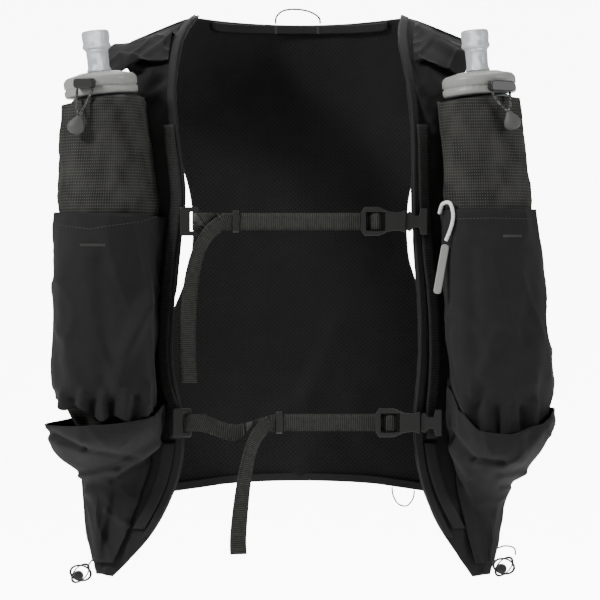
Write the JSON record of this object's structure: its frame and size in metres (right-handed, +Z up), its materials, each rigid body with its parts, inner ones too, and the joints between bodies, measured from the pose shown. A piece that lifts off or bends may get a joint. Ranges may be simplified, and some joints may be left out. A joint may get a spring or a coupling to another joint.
{
  "type": "hydration vest",
  "caption": "Running hydration vest in its worn shape: mesh back, stretch fronts with soft flasks in sleeves, lower pouches, and webbing chest straps with buckles.",
  "frame": {"origin": "midway between the two shoulder straps, at the height of the shoulders that carry them", "axes": "front faces -Y, +Z up, +X to the viewer's right when seen from the front"},
  "size_m": [0.36, 0.2565, 0.4258],
  "materials": {
    "air_mesh": "open spacer mesh",
    "stretch_fabric": "fine knit",
    "sleeve_mesh": "perforated stretch mesh",
    "binding_tape": "ribbed tape",
    "webbing": "ribbed webbing",
    "moulded_plastic": "satin moulded",
    "flask_film": "clear soft film",
    "cap_plastic": "satin moulded",
    "silicone": "translucent satin",
    "dark_cord": "braided",
    "pale_cord": "braided"
  },
  "bodies": {
    "root": {"back_panel": "air_mesh", "collar_binding": "binding_tape", "hem_binding": "binding_tape", "front_panel_left": "stretch_fabric", "side_panel_left": "stretch_fabric", "edge_binding_left": "binding_tape", "daisy_chain_left": "webbing", "shoulder_pouch_left": "stretch_fabric", "flask_left": "flask_film", "flask_sleeve_left": "sleeve_mesh", "stretch_pocket_left": "stretch_fabric", "lower_pouch_left": "stretch_fabric", "flask_cap_left": "cap_plastic", "bite_valve_left": "silicone", "zip_welt_left": "binding_tape", "cord_toggle_left": "moulded_plastic", "drawcord_left": "dark_cord", "cord_pull_left": "moulded_plastic", "cord_keeper_left": "moulded_plastic", "keeper_cord_left": "dark_cord", "front_panel_right": "stretch_fabric", "side_panel_right": "stretch_fabric", "edge_binding_right": "binding_tape", "daisy_chain_right": "webbing", "shoulder_pouch_right": "stretch_fabric", "flask_right": "flask_film", "flask_sleeve_right": "sleeve_mesh", "stretch_pocket_right": "stretch_fabric", "lower_pouch_right": "stretch_fabric", "flask_cap_right": "cap_plastic", "bite_valve_right": "silicone", "zip_welt_right": "binding_tape", "cord_toggle_right": "moulded_plastic", "drawcord_right": "dark_cord", "cord_pull_right": "moulded_plastic", "cord_keeper_right": "moulded_plastic", "keeper_cord_right": "dark_cord", "upper_chest_strap": "webbing", "upper_slider": "moulded_plastic", "upper_buckle": "moulded_plastic", "upper_buckle_hook": "moulded_plastic", "upper_keeper": "moulded_plastic", "lower_chest_strap": "webbing", "lower_slider": "moulded_plastic", "lower_buckle": "moulded_plastic", "lower_buckle_hook": "moulded_plastic", "lower_keeper": "moulded_plastic", "zip_pull_loop": "pale_cord", "zip_puller": "moulded_plastic", "hang_loop": "dark_cord", "hem_cord_loop": "dark_cord"}
  },
  "joints": []
}
